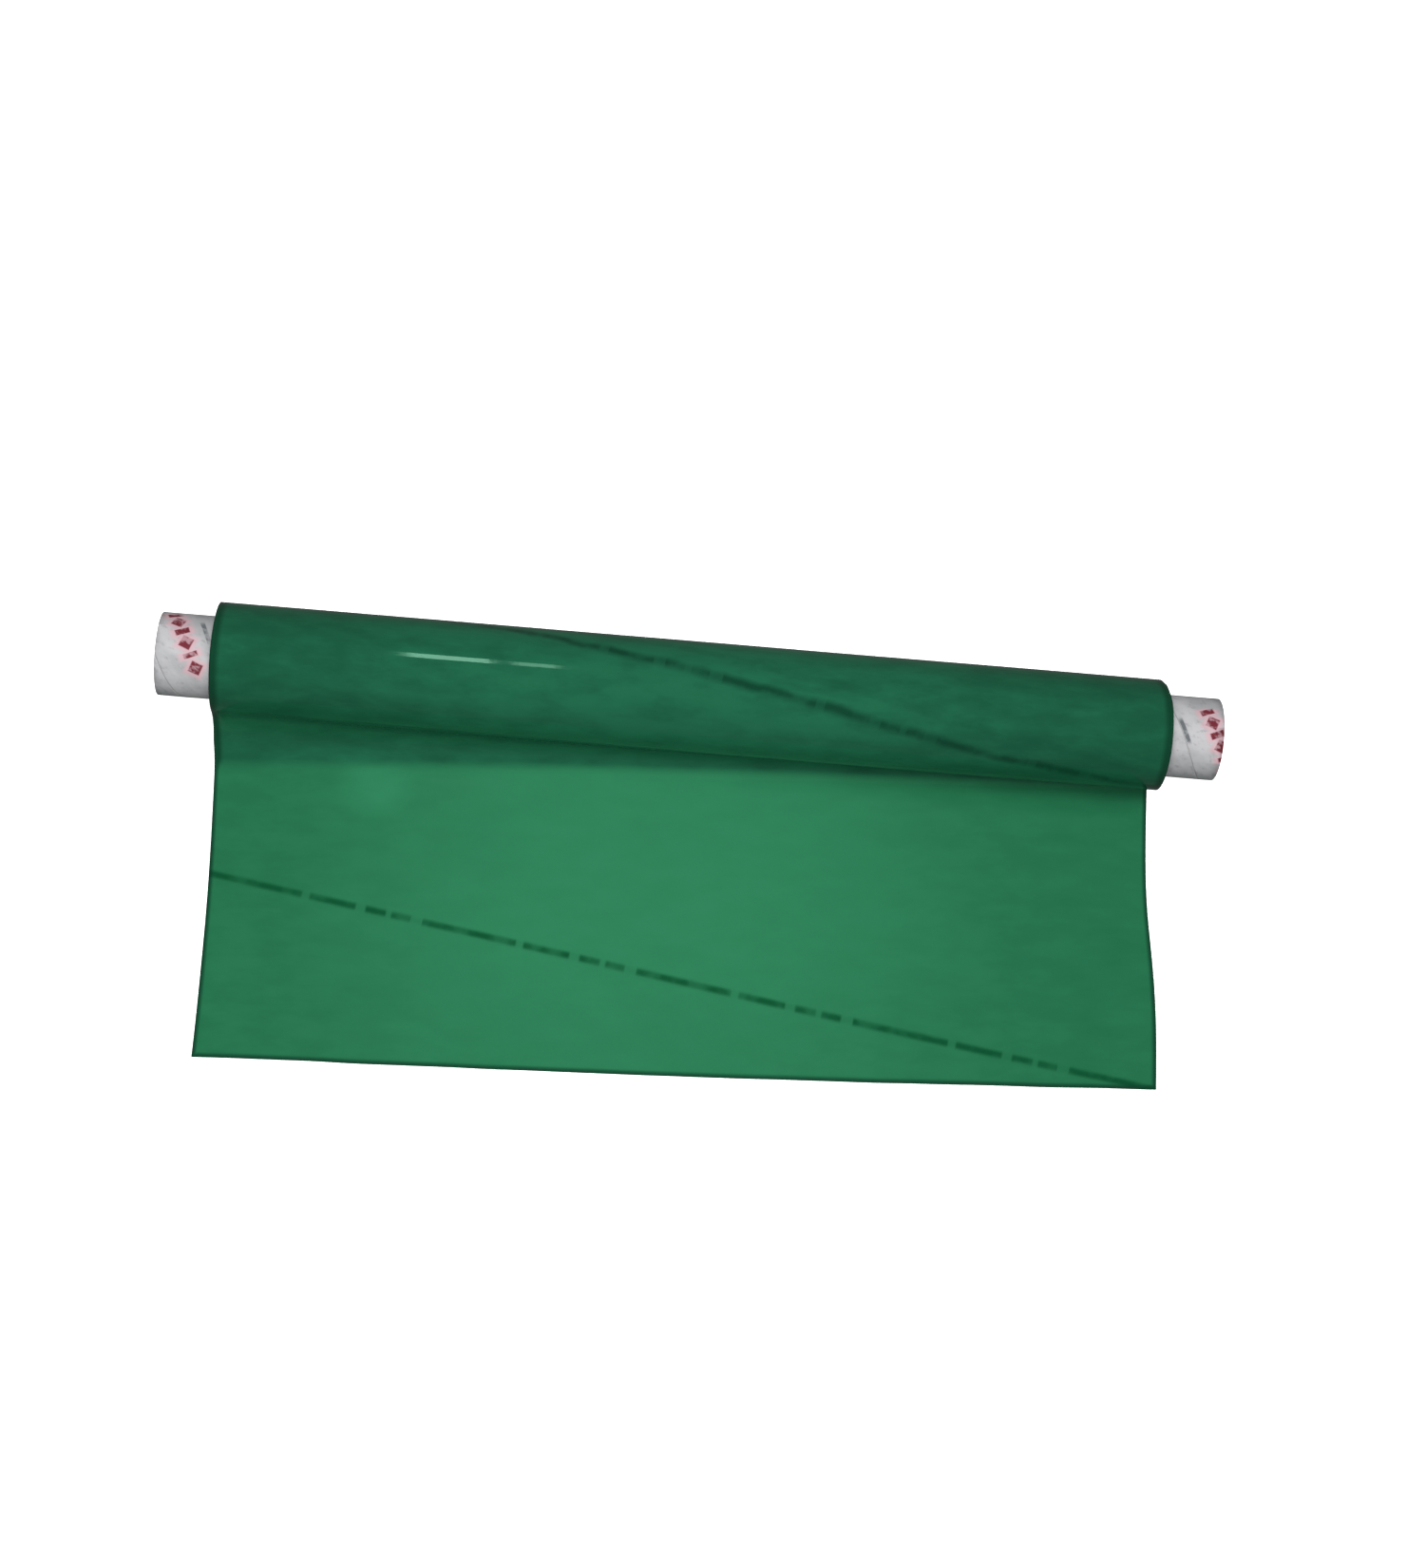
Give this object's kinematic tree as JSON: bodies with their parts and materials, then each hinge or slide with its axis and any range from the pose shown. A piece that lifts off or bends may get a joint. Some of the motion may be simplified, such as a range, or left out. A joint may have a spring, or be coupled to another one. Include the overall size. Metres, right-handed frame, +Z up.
{
  "type": "flexible sheet roll",
  "caption": "Roll of thin green rubbery sheet on a spiral-wound paper core, partly unrolled so that its free end lies flat.",
  "frame": {"origin": "middle of the core's bore, on its axis", "axes": "+X along the core's bore, +Z up from the surface that the roll lies on, and the sheet's free end lies towards -Y"},
  "size_m": [0.447, 0.1885, 0.0472],
  "materials": {
    "sheet": "glossy, slightly see-through green with a diagonal line of darker dashes",
    "core_print": null,
    "core_board": "matt grey-brown core board",
    "core_liner": "matt brown kraft paper",
    "tape": "thin double-sided tape"
  },
  "bodies": {
    "laid_sheet": {"sheet_outer_turn": "sheet", "sheet_bend": "sheet", "sheet_laid_length": "sheet"},
    "roll": {"core_liner_ply": "core_liner", "core_board_ply_1": "core_board", "core_board_ply_2": "core_board", "core_board_ply_3": "core_board", "core_printed_ply": "core_print", "start_tape": "tape", "sheet_wound_turns": "sheet"},
    "free_end": {"sheet_free_end": "sheet"}
  },
  "joints": [
    {"name": "roll_spin", "type": "hinge", "parent": "laid_sheet", "child": "roll", "pos_m": [0, 0, 0], "axis": [1, 0, 0], "range_deg": [-135, 360]},
    {"name": "free_end_pull", "type": "slide", "parent": "laid_sheet", "child": "free_end", "axis": [0.0425, -0.9991, 0], "range_m": [-0.055, 0.147], "deforming": ["sheet_laid_length"]}
  ],
  "couplings": [
    {"joint": "free_end_pull", "follows": "roll_spin", "m_per_rad": 0.02325}
  ]
}
